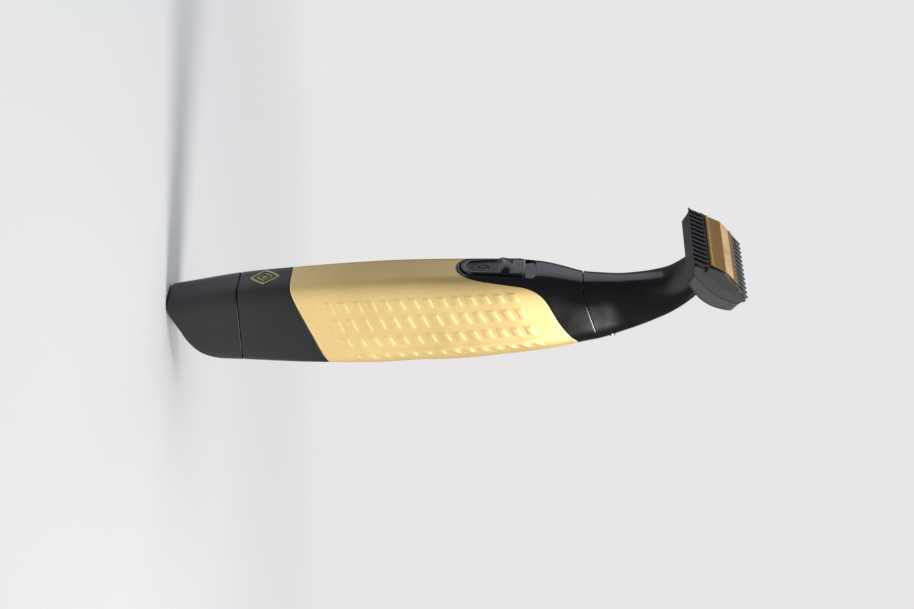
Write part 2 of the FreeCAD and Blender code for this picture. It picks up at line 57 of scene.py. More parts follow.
def makeCamera(spec):
    # the camera circles a point that lies axisOffset behind the handle's axis
    azimuth = math.radians(spec["azimuth"])
    heading = azimuth + math.radians(spec["yaw"])
    pitch = math.radians(spec["pitch"])
    roll = math.radians(spec["roll"])
    reach = spec["distance"]
    offset = spec["axisOffset"]
    place = metres([reach * math.sin(azimuth), offset - reach * math.cos(azimuth), spec["height"]])
    level = math.cos(pitch)
    forward = Vector((-math.sin(heading) * level, math.cos(heading) * level, -math.sin(pitch)))
    right = Vector((math.cos(heading), math.sin(heading), 0.0))
    up = right.cross(forward)
    localX = math.cos(roll) * up + math.sin(roll) * right
    localY = -math.cos(roll) * right + math.sin(roll) * up
    data = bpy.data.cameras.new("studioCamera")
    data.sensor_width = spec["sensor"]
    data.lens = spec["focal"] / spec["imageWidth"] * spec["sensor"]
    data.clip_start = 0.01
    data.clip_end = 20.0
    thing = bpy.data.objects.new("studioCamera", data)
    bpy.context.scene.collection.objects.link(thing)
    rotation = Matrix((localX, localY, -forward)).transposed()
    thing.matrix_world = Matrix.Translation(Vector(place)) @ rotation.to_4x4()
    bpy.context.scene.camera = thing


makeCamera(camera)
print("stage: camera")

# Outline of the handle and neck: height, half width, front, back, squareness of the section.
stations = np.array([
    (-4.0, 7.5, -9.6, 12.2, 4.5), (4.0, 7.8, -10.6, 12.4, 4.5), (23.3, 8.7, -13.3, 13.0, 5.0),
    (44.0, 9.1, -15.0, 14.3, 5.0), (66.5, 9.5, -16.2, 14.7, 5.0), (80.0, 9.5, -16.5, 14.1, 5.0),
    (93.6, 9.5, -16.4, 13.8, 5.0), (111.5, 9.25, -16.1, 12.4, 4.6), (120.5, 8.75, -15.5, 11.8, 4.0),
    (126.0, 8.3, -14.4, 11.3, 3.6), (133.1, 7.7, -12.5, 10.0, 3.1), (139.0, 7.1, -12.0, 9.0, 3.0),
    (145.0, 6.6, -11.7, 7.0, 3.0), (151.5, 6.75, -12.0, 4.4, 3.0), (156.5, 7.3, -12.5, 1.9, 3.0),
    (161.0, 8.0, -13.4, -0.8, 3.0), (165.6, 8.8, -15.7, -4.5, 3.0), (169.0, 9.2, -18.3, -7.8, 3.0),
    (172.5, 9.4, -21.0, -11.0, 3.0)])


def curveThrough(keys, values, at):
    # cubic through the keys, with each key's slope taken from its two neighbours
    keys = np.asarray(keys, float)
    values = np.asarray(values, float)
    before = np.maximum(np.arange(len(keys)) - 1, 0)
    after = np.minimum(np.arange(len(keys)) + 1, len(keys) - 1)
    slopes = (values[after] - values[before]) / (keys[after] - keys[before])
    index = np.clip(np.searchsorted(keys, at, side="right") - 1, 0, len(keys) - 2)
    span = keys[index + 1] - keys[index]
    part = (at - keys[index]) / span
    start = (2 * part**3 - 3 * part**2 + 1) * values[index]
    leaving = (part**3 - 2 * part**2 + part) * span * slopes[index]
    end = (3 * part**2 - 2 * part**3) * values[index + 1]
    arriving = (part**3 - part**2) * span * slopes[index + 1]
    return start + leaving + end + arriving


def softStep(value):
    # 0 below 0, 1 above 1, and a smooth S between
    part = np.clip(value, 0.0, 1.0)
    return part * part * (3 - 2 * part)


def skin(angle, height, inset=0.0):
    # superellipse of the handle at a height, stepped in by inset
    # angle is 0 at the front centre and pi at the back
    angle, height, inset = np.broadcast_arrays(np.asarray(angle, float), np.asarray(height, float),
                                               np.asarray(inset, float))
    halfWidth, front, back, power = (curveThrough(stations[:, 0], stations[:, column], height)
                                     for column in range(1, 5))
    across = np.sin(angle)
    deep = -np.cos(angle)
    scale = (np.abs(across)**power + np.abs(deep)**power)**(-1 / power)
    x = (halfWidth - inset) * across * scale
    y = (front + back) / 2 + ((back - front) / 2 - inset) * deep * scale
    return np.stack([x, y, height], axis=-1)


def evenAngles(count, height, cornerWeight=1.2):
    # angles spaced evenly by arc length, and closer where the section turns
    fine = np.linspace(0, 2 * np.pi, 4001)
    path = skin(fine, height)[:, :2]
    step = np.diff(path, axis=0)
    length = np.hypot(step[:, 0], step[:, 1])
    heading = np.unwrap(np.arctan2(step[:, 1], step[:, 0]))
    turn = np.abs(np.gradient(heading))
    total = np.concatenate([[0], np.cumsum(length / length.sum() + cornerWeight * turn / turn.sum())])
    return np.interp(np.linspace(0, total[-1], count, endpoint=False), total, fine)


def gridFaces(rows, columns, wrapRows, wrapColumns):
    # quads of a grid of points, row by row, closed on itself where asked
    r = np.arange(rows if wrapRows else rows - 1)
    c = np.arange(columns if wrapColumns else columns - 1)
    here, along = np.meshgrid(r, c, indexing="ij")
    nextRow = (here + 1) % rows
    nextColumn = (along + 1) % columns
    return np.stack([here * columns + along, here * columns + nextColumn,
                     nextRow * columns + nextColumn, nextRow * columns + along], axis=-1).reshape(-1, 4)


def meshFrom(name, parts, edgeAngle=35.0):
    # one mesh from parts of (points, quads, triangles), smooth up to edgeAngle, with its normals outward
    points = []
    quads = []
    triangles = []
    offset = 0
    for partPoints, partQuads, partTriangles in parts:
        flat = metres(partPoints).reshape(-1, 3)
        partQuads = np.asarray(partQuads, int).reshape(-1, 4)
        partTriangles = np.asarray(partTriangles, int).reshape(-1, 3)
        if signedVolume(flat, partQuads, partTriangles) < 0:
            partQuads = partQuads[:, ::-1]
            partTriangles = partTriangles[:, ::-1]
        points.append(flat)
        quads.append(partQuads + offset)
        triangles.append(partTriangles + offset)
        offset += len(flat)
    points = np.concatenate(points)
    quads = np.concatenate(quads)
    triangles = np.concatenate(triangles)
    loops = np.concatenate([quads.ravel(), triangles.ravel()]).astype(np.int32)
    starts = np.concatenate([np.arange(len(quads)) * 4, len(quads) * 4 + np.arange(len(triangles)) * 3])
    mesh = bpy.data.meshes.new(name)
    mesh.vertices.add(len(points))
    mesh.vertices.foreach_set("co", points.astype(np.float32).ravel())
    mesh.loops.add(len(loops))
    mesh.loops.foreach_set("vertex_index", loops)
    mesh.polygons.add(len(starts))
    mesh.polygons.foreach_set("loop_start", starts.astype(np.int32))
    mesh.polygons.foreach_set("use_smooth", np.ones(len(starts), bool))
    mesh.update(calc_edges=True)
    mesh.validate()
    mesh.set_sharp_from_angle(angle=math.radians(edgeAngle))
    return mesh


def signedVolume(points, quads, triangles):
    # volume from the faces' signed tetrahedra about the middle
    centred = points - points.mean(axis=0)
    faces = np.concatenate([quads[:, [0, 1, 2]], quads[:, [0, 2, 3]], triangles])
    a, b, c = (centred[faces[:, corner]] for corner in range(3))
    return np.einsum("ij,ij->i", a, np.cross(b, c)).sum()


def torusPart(points):
    # closed in both directions: a shell whose profile runs up the outside and down the inside
    rows, columns = points.shape[:2]
    return points, gridFaces(rows, columns, True, True), []


def loftPart(points):
    # rings stacked in rows, with a fan over each end
    rows, columns = points.shape[:2]
    flat = points.reshape(-1, 3)
    flat = np.concatenate([flat, [points[0].mean(axis=0)], [points[-1].mean(axis=0)]])
    ring = np.arange(columns)
    following = (ring + 1) % columns
    last = (rows - 1) * columns
    low = np.stack([following, ring, np.full(columns, rows * columns)], axis=-1)
    high = np.stack([last + ring, last + following, np.full(columns, rows * columns + 1)], axis=-1)
    return flat, gridFaces(rows, columns, False, True), np.concatenate([low, high])


def addPiece(name, parts, body, replaced, material, edgeAngle=35.0):
    piece = bpy.data.objects.new(name, meshFrom(name, parts, edgeAngle))
    bpy.context.scene.collection.objects.link(piece)
    piece.data.materials.append(material)
    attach(piece, body)
    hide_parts(*replaced)
    return piece


def softRamp(value, start, slope, width):
    # level up to start, then rising at the slope, with a round between them
    past = value - start
    return slope * (past + np.sqrt(past * past + width * width)) / 2


def meetSkin(angle, guess, curve):
    # height at which the skin at each angle meets a line drawn on the side view, z = curve(y)
    height = np.full(np.shape(angle), float(guess))
    for _ in range(8):
        height = curve(skin(angle, height)[..., 1])
    return height


def slabPart(outer, inner, wrapColumns=False):
    # sheet with a thickness: two grids of the same size, joined by strips along their open borders
    rows, columns = outer.shape[:2]
    count = rows * columns
    faces = gridFaces(rows, columns, False, wrapColumns)
    sides = [np.arange(columns), (rows - 1) * columns + np.arange(columns)]
    closed = [wrapColumns, wrapColumns]
    if not wrapColumns:
        sides += [np.arange(rows) * columns, np.arange(rows) * columns + columns - 1]
        closed += [False, False]
    strips = []
    for side, wrap, turned in zip(sides, closed, (True, False, False, True)):
        start = side if wrap else side[:-1]
        end = np.roll(side, -1) if wrap else side[1:]
        strip = np.stack([start, end, end + count, start + count], axis=-1)
        strips.append(strip[:, ::-1] if turned else strip)
    points = np.concatenate([outer.reshape(-1, 3), inner.reshape(-1, 3)])
    return points, np.concatenate([faces[:, ::-1], faces + count] + strips), []


def bowlRows(outline, floor, top, inset, rounding, lift, wallRows=24, floorRows=16):
    # wall from the rim down, a quarter round, then the floor to its middle, as (a, b, c) rows
    # outline(inset, c) gives the rim's (a, b), and floor(b) the height of the floor
    a, b = outline(inset, top * np.ones(1))
    for _ in range(8):
        foot = floor(b) + lift
        a, b = outline(inset, foot)
    foot = foot + rounding
    part = np.linspace(0, 1, wallRows)[:, None]
    wallHeight = top + (foot - top) * part
    a, b = outline(inset, wallHeight)
    rows = [np.stack([a, b, wallHeight], axis=-1)]
    turn = np.linspace(0, np.pi / 2, 7)[1:, None]
    a, b = outline(inset + rounding * (1 - np.cos(turn)), foot * np.ones_like(turn))
    rows.append(np.stack([a, b, floor(b) + lift + rounding * (1 - np.sin(turn))], axis=-1))
    share = np.linspace(1, 0.06, floorRows)[1:, None]
    middle = b[-1].mean()
    across = a[-1] * share
    deep = middle + (b[-1] - middle) * share
    rows.append(np.stack([across, deep, floor(deep) + lift], axis=-1))
    return np.concatenate(rows)


def carve(piece, cutters):
    # cuts closed shapes out of a piece, one after the other, and leaves a plain mesh
    for parts in cutters:
        tool = bpy.data.objects.new("cutter", meshFrom("cutter", parts))
        bpy.context.scene.collection.objects.link(tool)
        cut = piece.modifiers.new("cut", "BOOLEAN")
        cut.operation = "DIFFERENCE"
        cut.solver = "EXACT"
        cut.object = tool
        bpy.context.view_layer.update()
        result = bpy.data.meshes.new_from_object(piece.evaluated_get(bpy.context.evaluated_depsgraph_get()))
        piece.modifiers.clear()
        piece.data = result
        bpy.data.objects.remove(tool)
    piece.data.set_sharp_from_angle(angle=math.radians(35))


def roundedOutline(halfA, halfB, radius, count=8):
    # rectangle with round corners, as a closed (n, 2) outline
    turn = np.linspace(0, np.pi / 2, count)
    corners = []
    for quarter, (signA, signB) in enumerate(((1, 1), (-1, 1), (-1, -1), (1, -1))):
        angle = turn + quarter * np.pi / 2
        corners.append(np.stack([signA * (halfA - radius) + radius * np.cos(angle),
                                 signB * (halfB - radius) + radius * np.sin(angle)], axis=-1))
    return np.concatenate(corners)


def smoothBevel(piece, width, angle=40.0, segments=2):
    bevel = piece.modifiers.new("softEdges", "BEVEL")
    bevel.width = width * 0.001
    bevel.segments = segments
    bevel.limit_method = "ANGLE"
    bevel.angle_limit = math.radians(angle)
    bevel.harden_normals = True


# Directions of the head: "along" runs up its face, "out" away from it.
head = {"y": -19.9, "z": 175.7, "angle": 51.5, "halfWidth": 20.1, "faceHalf": 10.65, "ridge": 2.3,
        "floor": -8.6, "floorRise": 2.75, "floorHalf": 8.72}
headCos = math.cos(math.radians(head["angle"]))
headSin = math.sin(math.radians(head["angle"]))


def headPlace(x, along, out):
    # a point given in the head's own directions
    x, along, out = np.broadcast_arrays(x, along, out)
    y = head["y"] + along * headCos - out * headSin
    z = head["z"] + along * headSin + out * headCos
    return np.stack([x, y, z], axis=-1)


def headTower(outline, levels):
    # closed column through the head, from an outline (x, along) and its two levels of out
    return [loftPart(np.array([headPlace(outline[:, 0], outline[:, 1], out) for out in levels]))]


def linear(hexColour):
    # sRGB hex to linear, for the shader
    channels = [int(hexColour[start:start + 2], 16) / 255 for start in (1, 3, 5)]
    return tuple(c / 12.92 if c <= 0.04045 else ((c + 0.055) / 1.055)**2.4 for c in channels) + (1.0,)


def addNode(tree, kind, settings, links=()):
    # a node with its settings (attributes or inputs) and its links, as (input, output socket) pairs
    node = tree.nodes.new(kind)
    for name, value in settings.items():
        if isinstance(name, int) or name in node.inputs:
            node.inputs[name].default_value = value
        else:
            setattr(node, name, value)
    for name, source in links:
        tree.links.new(source, node.inputs[name])
    return node


def surfaceMaterial(name, spec):
    # base colour with slow mottling and fine flecks, roughness that varies with the smudges, grain and a
    # slow wave in the bump, and edges rubbed lighter; every size is in millimetres
    material = bpy.data.materials.new(name)
    material.use_nodes = True
    tree = material.node_tree
    shader = tree.nodes["Principled BSDF"]
    place = addNode(tree, "ShaderNodeTexCoord", {}).outputs["Object"]
    stretched = addNode(tree, "ShaderNodeMapping", {"Scale": spec["brush"]},
                        [("Vector", place)]).outputs[0]
    mottle = addNode(tree, "ShaderNodeTexNoise", {"Scale": 1000 / spec["mottleSize"], "Detail": 4.0},
                     [("Vector", place)]).outputs[0]
    grain = addNode(tree, "ShaderNodeTexNoise", {"Scale": 1000 / spec["grainSize"], "Detail": 3.0},
                    [("Vector", stretched)]).outputs[0]
    smudge = addNode(tree, "ShaderNodeTexNoise", {"Scale": 1000 / 9.0, "Detail": 6.0, "Distortion": 0.6},
                     [("Vector", place)]).outputs[0]
    wear = addNode(tree, "ShaderNodeNewGeometry", {}).outputs["Pointiness"]
    edge = addNode(tree, "ShaderNodeMapRange", {"From Min": 0.54, "From Max": 0.68},
                   [("Value", wear)]).outputs[0]
    shades = {"data_type": "RGBA", 6: linear(spec["dark"]), 7: linear(spec["light"])}
    tones = addNode(tree, "ShaderNodeMix", shades, [(0, mottle)]).outputs[2]
    flecked = addNode(tree, "ShaderNodeMapRange", {"From Min": 0.35, "From Max": 0.65,
                                                   "To Min": 1 - spec["fleck"], "To Max": 1 + spec["fleck"]},
                      [("Value", grain)]).outputs[0]
    fleckTone = addNode(tree, "ShaderNodeMix", {"data_type": "RGBA", "blend_type": "MULTIPLY", 0: 1.0},
                        [(6, tones), (7, flecked)]).outputs[2]
    amount = addNode(tree, "ShaderNodeMath", {"operation": "MULTIPLY", 1: spec["wear"]},
                     [(0, edge)]).outputs[0]
    worn = addNode(tree, "ShaderNodeMix", {"data_type": "RGBA", 7: linear(spec["rubbed"])},
                   [(0, amount), (6, fleckTone)]).outputs[2]
    tree.links.new(worn, shader.inputs["Base Color"])
    rough = addNode(tree, "ShaderNodeMapRange", {"From Min": 0.3, "From Max": 0.7, "To Min": spec["rough"][0],
                                                 "To Max": spec["rough"][1]}, [("Value", smudge)]).outputs[0]
    tree.links.new(rough, shader.inputs["Roughness"])
    depth = spec["grainSize"] * 0.0002  # a fifth of the grain's width, in metres
    fine = addNode(tree, "ShaderNodeBump", {"Strength": spec["grainBump"], "Distance": depth},
                   [("Height", grain)]).outputs[0]
    wavy = addNode(tree, "ShaderNodeBump", {"Strength": spec["waveBump"], "Distance": 0.0004},
                   [("Height", mottle), ("Normal", fine)]).outputs[0]
    tree.links.new(wavy, shader.inputs["Normal"])
    shader.inputs["Metallic"].default_value = spec["metallic"]
    if not spec["metallic"]:
        shader.inputs["IOR"].default_value = spec["ior"]
    shader.inputs["Coat Weight"].default_value = spec["coat"]
    shader.inputs["Coat Roughness"].default_value = spec["coatRough"]
    return material


# Finishes: the usual values, and for each what differs from them.
# "grainSize" is drawn no finer than 0.2 mm, because the real grain would be too fine to see.
usual = {"wear": 0.3, "waveBump": 0.02, "metallic": 0.0, "ior": 1.53, "coat": 0.0, "coatRough": 0.08,
         "brush": (1.0, 1.0, 1.0)}
finishes = {
    # ABS moulded in a spark-eroded tool: an even satin with a faint speckle
    "satinCharcoal": {"dark": "#0E1116", "light": "#14181E", "rubbed": "#383E46", "fleck": 0.10,
                      "wear": 0.12, "mottleSize": 6.0, "grainSize": 0.22, "grainBump": 0.22,
                      "rough": (0.30, 0.40)},
    # polished black ABS: sharp reflections over a very slight moulding wave
    "glossBlack": {"dark": "#06070A", "light": "#0A0C10", "rubbed": "#2A2D33", "fleck": 0.05,
                   "wear": 0.25, "mottleSize": 7.0, "grainSize": 0.5, "grainBump": 0.02, "waveBump": 0.03,
                   "rough": (0.14, 0.24), "coat": 0.5},
    # sprayed metallic paint under a satin lacquer: fine flake and a soft wide sheen
    "goldPaint": {"dark": "#EDCD8A", "light": "#F6DB9C", "rubbed": "#FAE8B8", "fleck": 0.06, "wear": 0.15,
                  "mottleSize": 14.0, "grainSize": 0.25, "grainBump": 0.16, "waveBump": 0.015,
                  "rough": (0.36, 0.44), "metallic": 0.52, "coat": 0.15, "coatRough": 0.25},
    # switch: the same polished ABS, a little brighter where the thumb rubs it
    "thumbBlack": {"dark": "#06070A", "light": "#0B0D11", "rubbed": "#34383F", "fleck": 0.06,
                   "mottleSize": 4.0, "grainSize": 0.3, "grainBump": 0.05, "rough": (0.12, 0.22),
                   "coat": 0.5, "coatRough": 0.06},
    # vacuum-plated badge: pale gold, slightly mirrored
    "emblemGold": {"dark": "#A39B70", "light": "#B8B084", "rubbed": "#DAD3A8", "fleck": 0.05, "wear": 0.4,
                   "mottleSize": 3.0, "grainSize": 0.25, "grainBump": 0.06, "waveBump": 0.01,
                   "rough": (0.22, 0.34), "metallic": 0.9},
    # filled nylon or ABS of the head: matte blue-grey black, coarser moulded grain
    "headGrey": {"dark": "#1C222C", "light": "#252C37", "rubbed": "#525A66", "fleck": 0.12, "wear": 0.1,
                 "mottleSize": 5.0, "grainSize": 0.25, "grainBump": 0.30, "rough": (0.46, 0.60),
                 "ior": 1.5},
    # the comb's nylon: the same as the head's, drawn darker as painted shade, and a little smoother where it
    # slides on the skin
    "combNylonPaintedShade": {"dark": "#0E1013", "light": "#14171A", "rubbed": "#34393F", "fleck": 0.12, "wear": 0.1,
                  "mottleSize": 5.0, "grainSize": 0.25, "grainBump": 0.26, "rough": (0.38, 0.52),
                  "ior": 1.5},
    # titanium-nitride coated steel, ground along the blade before coating
    "bladeGold": {"dark": "#A2762C", "light": "#B4873A", "rubbed": "#D8BC84", "fleck": 0.10,
                  "mottleSize": 6.0, "grainSize": 0.25, "grainBump": 0.16, "rough": (0.26, 0.38),
                  "metallic": 1.0, "brush": (0.08, 1.0, 1.0)},
    # moulded silicone rubber: dull, with a powdery bloom
    "sealRubber": {"dark": "#17181A", "light": "#202225", "rubbed": "#33363A", "fleck": 0.08, "wear": 0.1,
                   "mottleSize": 3.0, "grainSize": 0.3, "grainBump": 0.30, "waveBump": 0.05,
                   "rough": (0.62, 0.78), "ior": 1.52},
    # glass-filled nylon: mid grey, with a faint fibre grain
    "frameNylon": {"dark": "#4A4C50", "light": "#565A5E", "rubbed": "#80848A", "fleck": 0.10,
                   "mottleSize": 5.0, "grainSize": 0.3, "grainBump": 0.25, "waveBump": 0.03,
                   "rough": (0.50, 0.64)},
    # shrink-wrapped PVC round the cell: smooth, with slow waves
    "cellWrap": {"dark": "#2F6E9E", "light": "#3B7FB0", "rubbed": "#7FB2D4", "fleck": 0.03,
                 "mottleSize": 9.0, "grainSize": 0.6, "grainBump": 0.05, "waveBump": 0.06,
                 "rough": (0.24, 0.36), "ior": 1.54},
    # solder mask over glass epoxy: glossy, with the weave showing through
    "boardGreen": {"dark": "#1C5A36", "light": "#256B42", "rubbed": "#5E9A72", "fleck": 0.18,
                   "mottleSize": 1.6, "grainSize": 0.4, "grainBump": 0.12, "rough": (0.28, 0.40),
                   "ior": 1.54},
    # turned and ground steel: fine lines round the part
    "turnedSteel": {"dark": "#8E9196", "light": "#A9ACB0", "rubbed": "#D6D8DA", "fleck": 0.10,
                    "wear": 0.5, "mottleSize": 2.0, "grainSize": 0.2, "grainBump": 0.18,
                    "rough": (0.24, 0.38), "metallic": 1.0, "brush": (1.0, 1.0, 0.15)},
    # nickel-plated strip: warm grey and smooth
    "nickelStrip": {"dark": "#A39C8C", "light": "#BDB6A4", "rubbed": "#E2DCCB", "fleck": 0.06,
                    "wear": 0.4, "mottleSize": 3.0, "grainSize": 0.25, "grainBump": 0.10,
                    "rough": (0.24, 0.36), "metallic": 1.0},
    # sintered ferrite: dull dark grey, grainy
    "magnetDark": {"dark": "#3A3B3E", "light": "#48494D", "rubbed": "#77787C", "fleck": 0.20, "wear": 0.4,
                   "mottleSize": 2.0, "grainSize": 0.3, "grainBump": 0.35, "waveBump": 0.04,
                   "rough": (0.55, 0.70), "ior": 1.9},
    # sintered bronze, oil-filled: brown and porous
    "bronzeBush": {"dark": "#8A6434", "light": "#A47C48", "rubbed": "#CFA872", "fleck": 0.22, "wear": 0.4,
                   "mottleSize": 1.5, "grainSize": 0.2, "grainBump": 0.30, "rough": (0.36, 0.52),
                   "metallic": 1.0},
    # unfilled nylon: cream, slightly waxy
    "motorNylon": {"dark": "#C9C5B8", "light": "#D6D2C6", "rubbed": "#EAE8E0", "fleck": 0.05, "wear": 0.2,
                   "mottleSize": 3.0, "grainSize": 0.3, "grainBump": 0.20, "rough": (0.46, 0.58)},
    # stacked iron laminations: grey, lined along the shaft
    "rotorIron": {"dark": "#55585C", "light": "#6C7074", "rubbed": "#A5A8AC", "fleck": 0.16, "wear": 0.4,
                  "mottleSize": 2.0, "grainSize": 0.35, "grainBump": 0.40, "rough": (0.38, 0.52),
                  "metallic": 1.0, "brush": (0.1, 0.1, 1.0)},
    # PVC wire insulation
    "leadRed": {"dark": "#9E2A24", "light": "#B4352D", "rubbed": "#D4665E", "fleck": 0.04, "wear": 0.2,
                "mottleSize": 3.0, "grainSize": 0.4, "grainBump": 0.10, "waveBump": 0.05,
                "rough": (0.40, 0.52)},
    # black glass-filled nylon of the switch body
    "switchNylon": {"dark": "#25272A", "light": "#2E3134", "rubbed": "#565A5E", "fleck": 0.08,
                    "mottleSize": 3.0, "grainSize": 0.3, "grainBump": 0.25, "rough": (0.48, 0.62)}}
finish = {name: surfaceMaterial(name, {**usual, **spec}) for name, spec in finishes.items()}
print("stage: finishes")

# Parts that stay as they are in the frame, by finish.
carried = {
    "sealRubber": ["cap_seal", "neck_seal"],
    "frameNylon": ["chassis_frame", "motor_mount", "drive_lever", "blade_carrier", "blade_frame"],
    "cellWrap": ["battery_cell"],
    "nickelStrip": ["cell_contacts", "motor_terminals", "switch_wiper"],
    "leadRed": ["cell_leads", "motor_leads"],
    "boardGreen": ["control_board", "switch_board"],
    "turnedSteel": ["cap_screw", "neck_screws", "head_screws", "lever_pin", "rotor_shaft", "motor_can",
                    "charging_socket", "blade_spring", "moving_blade"],
    "magnetDark": ["motor_magnets"],
    "bronzeBush": ["motor_bearing"],
    "motorNylon": ["motor_end_cap", "crank"],
    "rotorIron": ["rotor_core"],
    "switchNylon": ["switch_block"]}
for name, members in carried.items():
    for member in members:
        nodes[member].data.materials.clear()
        nodes[member].data.materials.append(finish[name])
print("stage: carried parts")

# End cap: outer skin down to a slanted base with a round edge, hollow, with a socket slot and a screw hole.
cap = {"top": 23.2, "lip": 0.14, "wall": 1.6, "floorWall": 2.0, "rounding": 1.3, "insideRounding": 0.5,
       "columns": 220, "below": -4.0,
       "baseLine": [(-11.2, 4.2), (-10.7, 2.3), (-9.9, 0.9), (-8.8, 0.25), (-7.6, 0.0), (-5.5, 0.25),
                    (-3.6, 1.15), (0.9, 3.6), (5.4, 6.05), (9.7, 10.3), (12.2, 16.5), (13.3, 22.0)],
       "slot": (4.1, 1.65, -3.85), "slotCorner": 1.2, "slotTop": 9.0, "screwY": 6.0, "screwRadius": 1.15,
       "screwHole": (2.0, 16.0), "recessRadius": 2.1, "recessTop": 7.9}


def capFloor(y):
    line = np.array(cap["baseLine"])
    return curveThrough(line[:, 0], line[:, 1], np.clip(y, line[0, 0], line[-1, 0]))


def towerPart(outline, levels):
    # closed column from an outline (n, 2) and levels of (z, growth), growth moving the outline outwards
    centre = outline.mean(axis=0)
    away = outline - centre
    away = away / np.linalg.norm(away, axis=1)[:, None]
    rings = [np.concatenate([outline + away * growth, np.full((len(outline), 1), z)], axis=1)
             for z, growth in levels]
    return loftPart(np.array(rings))


def circle(radius, count=40):
    turn = np.linspace(0, 2 * np.pi, count, endpoint=False)
    return np.stack([radius * np.cos(turn), radius * np.sin(turn)], axis=-1)


def makeEndCap(spec):
    angles = evenAngles(spec["columns"], 12.0)

    def rim(inset, height):
        ring = skin(angles, height, inset)
        return ring[..., 0], ring[..., 1]

    outer = bowlRows(rim, capFloor, spec["top"] - spec["lip"], 0.0, spec["rounding"], 0.0, 30, 26)
    inner = bowlRows(rim, capFloor, spec["top"], spec["wall"], spec["insideRounding"], spec["floorWall"],
                     16, 12)
    edge = skin(angles, np.array([[spec["top"] - spec["lip"] * 0.3], [spec["top"]]]),
                np.array([[spec["lip"] * 0.3], [spec["lip"]]]))
    piece = addPiece("endCap", [loftPart(np.concatenate([outer[::-1], edge, inner]))], "handle", ["end_cap"],
                     finish["satinCharcoal"])
    halfX, halfY, slotY = spec["slot"]
    below = spec["below"]
    slot = towerPart(roundedOutline(halfX, halfY, spec["slotCorner"]) + (0, slotY),
                     [(below, 0), (spec["slotTop"], 0)])
    recess = towerPart(circle(spec["recessRadius"]) + (0, spec["screwY"]),
                       [(below, 0), (spec["recessTop"], 0)])
    hole = towerPart(circle(spec["screwRadius"]) + (0, spec["screwY"]), [(z, 0) for z in spec["screwHole"]])
    carve(piece, [[slot], [recess], [hole]])


makeEndCap(cap)
print("stage: end cap")


def shellRows(low, high, wall, lip, count):
    # rows of a hollow ring, as (share of the way up, step in z, inset): up the outside and down the inside
    share = np.linspace(0, 1, count)
    rows = [(0, 0, wall), (0, 0, lip), (0, 0.3 * lip, 0.3 * lip)]
    rows += [(part, lip * (1 - 2 * part), 0.0) for part in share]
    rows += [(1, -0.3 * lip, 0.3 * lip), (1, 0, lip), (1, 0, wall)]
    rows += [(part, 0, wall) for part in (0.8, 0.6, 0.4, 0.2)]
    part, step, inset = np.array(rows).T[:, :, None]
    return low + (high - low) * part + step, inset


def sleeveLow(angle, offset=0.0):
    # the sleeve's lower edge: level in front, then rising to the back
    return meetSkin(angle, 42, lambda y: 40.1 + offset + softRamp(y, -13.27, 0.409, 1.6))


# the sleeve's upper edge, as (degrees from the front centre, height)
sleeveTop = np.array([(0, 92.8), (18.6, 93.5), (27, 94.6), (34.3, 96.4), (39.5, 99.6), (43, 103.6),
                      (46.5, 109.6), (49.5, 114.8), (54.4, 118.1), (63.3, 120.9), (79.5, 123.2),
                      (98.5, 125.4), (123.9, 129.3), (135, 131.0), (180, 131.3)])


def sleeveHigh(angle, offset=0.0):
    # the same edge at any angle: low under the switch in front, then rising to the back
    around = np.degrees(np.minimum(angle, 2 * np.pi - angle))
    return curveThrough(sleeveTop[:, 0], sleeveTop[:, 1], around) + offset


ribs = {"count": 14, "rise": 0.12, "half": 1.15, "endEdge": 0.4, "longEdge": 1.0,
        "lowest": [((-9.3, 51.6), (-5.4, 53.2)), ((-3.1, 53.9), (1.4, 55.7)), ((3.9, 56.4), (7.0, 58.1)),
                   ((10.4, 59.8), (12.0, 60.8))],
        "highest": [((-11.4, 110.3), (-8.6, 111.7)), ((-5.8, 112.6), (-2.3, 114.6)),
                    ((0.7, 115.5), (3.7, 116.9)), ((6.9, 118.4), (8.3, 119.4))]}
crease = {"low": (9.0, 58.0), "high": (5.1, 118.0), "depth": 0.16, "half": 0.45}


def gripRelief(y, z):
    # low slanted pads in four columns, and the crease in front of the last one
    height = np.zeros_like(y)
    for low, high in zip(ribs["lowest"], ribs["highest"]):
        for step in range(ribs["count"]):
            part = step / (ribs["count"] - 1)
            startY, startZ = np.array(low[0]) * (1 - part) + np.array(high[0]) * part
            endY, endZ = np.array(low[1]) * (1 - part) + np.array(high[1]) * part
            across = y - (startY + endY) / 2
            upward = z - (startZ + endZ) / 2 - across * (endZ - startZ) / (endY - startY)
            inside = softStep(((endY - startY) / 2 - np.abs(across)) / ribs["endEdge"] + 0.5)
            inside = inside * softStep((ribs["half"] - np.abs(upward)) / ribs["longEdge"] + 0.5)
            height += ribs["rise"] * inside
    part = (z - crease["low"][1]) / (crease["high"][1] - crease["low"][1])
    line = crease["low"][0] + (crease["high"][0] - crease["low"][0]) * part
    fade = softStep(part * 5) * softStep((1.02 - part) * 8)
    return height - crease["depth"] * fade * np.exp(-((y - line) / crease["half"])**2)


sleeve = {"columns": 330, "rows": 240, "wall": 1.28, "lip": 0.22}


def makeGripSleeve(spec):
    angles = evenAngles(spec["columns"], 75.0, 0.5)
    height, inset = shellRows(sleeveLow(angles), sleeveHigh(angles), spec["wall"], spec["lip"], spec["rows"])
    flat = skin(angles, height, inset)
    relief = np.where(inset < 0.01, gripRelief(flat[..., 1], flat[..., 2]), 0.0)
    points = skin(angles, height, inset - relief)
    addPiece("gripSleeve", [torusPart(points)], "handle", ["grip_sleeve"], finish["goldPaint"])


makeGripSleeve(sleeve)
print("stage: grip sleeve")

# Lower housing: skin from the cap's seam to the sleeve, with a step in under both.
lower = {"foot": 19.2, "bottom": 23.5, "lip": 0.16, "capStep": 1.75, "sleeveStep": 1.42, "wall": 2.6,
         "sleeveReach": 5.0, "columns": 260}


